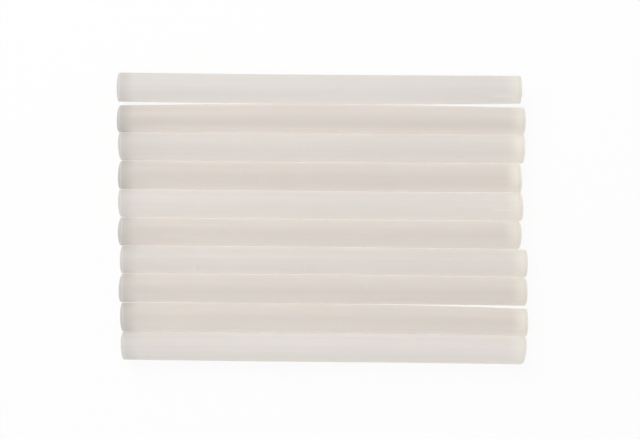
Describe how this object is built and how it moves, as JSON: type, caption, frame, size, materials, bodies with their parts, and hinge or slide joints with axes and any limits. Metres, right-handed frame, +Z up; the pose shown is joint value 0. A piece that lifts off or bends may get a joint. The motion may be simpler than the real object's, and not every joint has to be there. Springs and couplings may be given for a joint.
{
  "type": "mini hot glue sticks",
  "caption": "Row of mini hot glue sticks: translucent milky rods of hot-melt adhesive with chopped flat ends, lying side by side in one layer.",
  "frame": {"origin": "middle of the row's footprint, on the surface that the sticks lie on", "axes": "+X along the sticks, +Y across the row towards glue_stick_01, +Z up"},
  "size_m": [0.1022, 0.0718, 0.0073],
  "materials": {
    "adhesive_neutral": "satin",
    "adhesive_warm": "satin"
  },
  "bodies": {
    "stick_01": {"glue_stick_01": "adhesive_neutral"},
    "stick_02": {"glue_stick_02": "adhesive_warm"},
    "stick_03": {"glue_stick_03": "adhesive_neutral"},
    "stick_04": {"glue_stick_04": "adhesive_warm"},
    "stick_05": {"glue_stick_05": "adhesive_neutral"},
    "stick_06": {"glue_stick_06": "adhesive_warm"},
    "stick_07": {"glue_stick_07": "adhesive_neutral"},
    "stick_08": {"glue_stick_08": "adhesive_warm"},
    "stick_09": {"glue_stick_09": "adhesive_warm"},
    "stick_10": {"glue_stick_10": "adhesive_neutral"}
  },
  "joints": [
    {"name": "stick_01_lift", "type": "slide", "parent": "stick_05", "child": "stick_01", "axis": [0, 0, 1], "range_m": [0, 0.03]},
    {"name": "stick_02_lift", "type": "slide", "parent": "stick_05", "child": "stick_02", "axis": [0, 0, 1], "range_m": [0, 0.03]},
    {"name": "stick_03_lift", "type": "slide", "parent": "stick_05", "child": "stick_03", "axis": [0, 0, 1], "range_m": [0, 0.03]},
    {"name": "stick_04_lift", "type": "slide", "parent": "stick_05", "child": "stick_04", "axis": [0, 0, 1], "range_m": [0, 0.03]},
    {"name": "stick_06_lift", "type": "slide", "parent": "stick_05", "child": "stick_06", "axis": [0, 0, 1], "range_m": [0, 0.03]},
    {"name": "stick_07_lift", "type": "slide", "parent": "stick_05", "child": "stick_07", "axis": [0, 0, 1], "range_m": [0, 0.03]},
    {"name": "stick_08_lift", "type": "slide", "parent": "stick_05", "child": "stick_08", "axis": [0, 0, 1], "range_m": [0, 0.03]},
    {"name": "stick_09_lift", "type": "slide", "parent": "stick_05", "child": "stick_09", "axis": [0, 0, 1], "range_m": [0, 0.03]},
    {"name": "stick_10_lift", "type": "slide", "parent": "stick_05", "child": "stick_10", "axis": [0, 0, 1], "range_m": [0, 0.03]}
  ]
}
